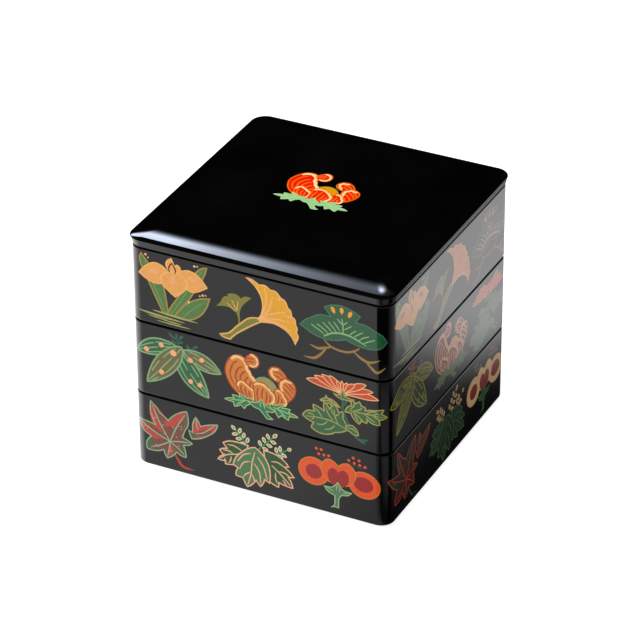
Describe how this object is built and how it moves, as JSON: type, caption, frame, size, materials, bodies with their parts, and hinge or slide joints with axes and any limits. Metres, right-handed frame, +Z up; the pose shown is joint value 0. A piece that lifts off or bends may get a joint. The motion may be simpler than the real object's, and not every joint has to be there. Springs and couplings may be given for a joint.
{
  "type": "lacquer stacking food box",
  "caption": "Square stacking food box in mirror-black lacquer with painted seasonal flowers and leaves: nesting tiers under a lift-off lid with a rolled edge.",
  "frame": {"origin": "centre of the underside of the bottom tier's foot, on the surface that the box stands on", "axes": "+Z up through the stack, -Y towards the face that carries the lid ornament's lower side (front), +X to the right of it"},
  "size_m": [0.198, 0.198, 0.1844],
  "materials": {
    "black_lacquer": "mirror-gloss black lacquer, with flush painted flowers and leaves on the outer walls and the lid"
  },
  "bodies": {
    "root": {"lid": "black_lacquer", "tier_top": "black_lacquer", "tier_middle": "black_lacquer", "tier_bottom": "black_lacquer"}
  },
  "joints": []
}
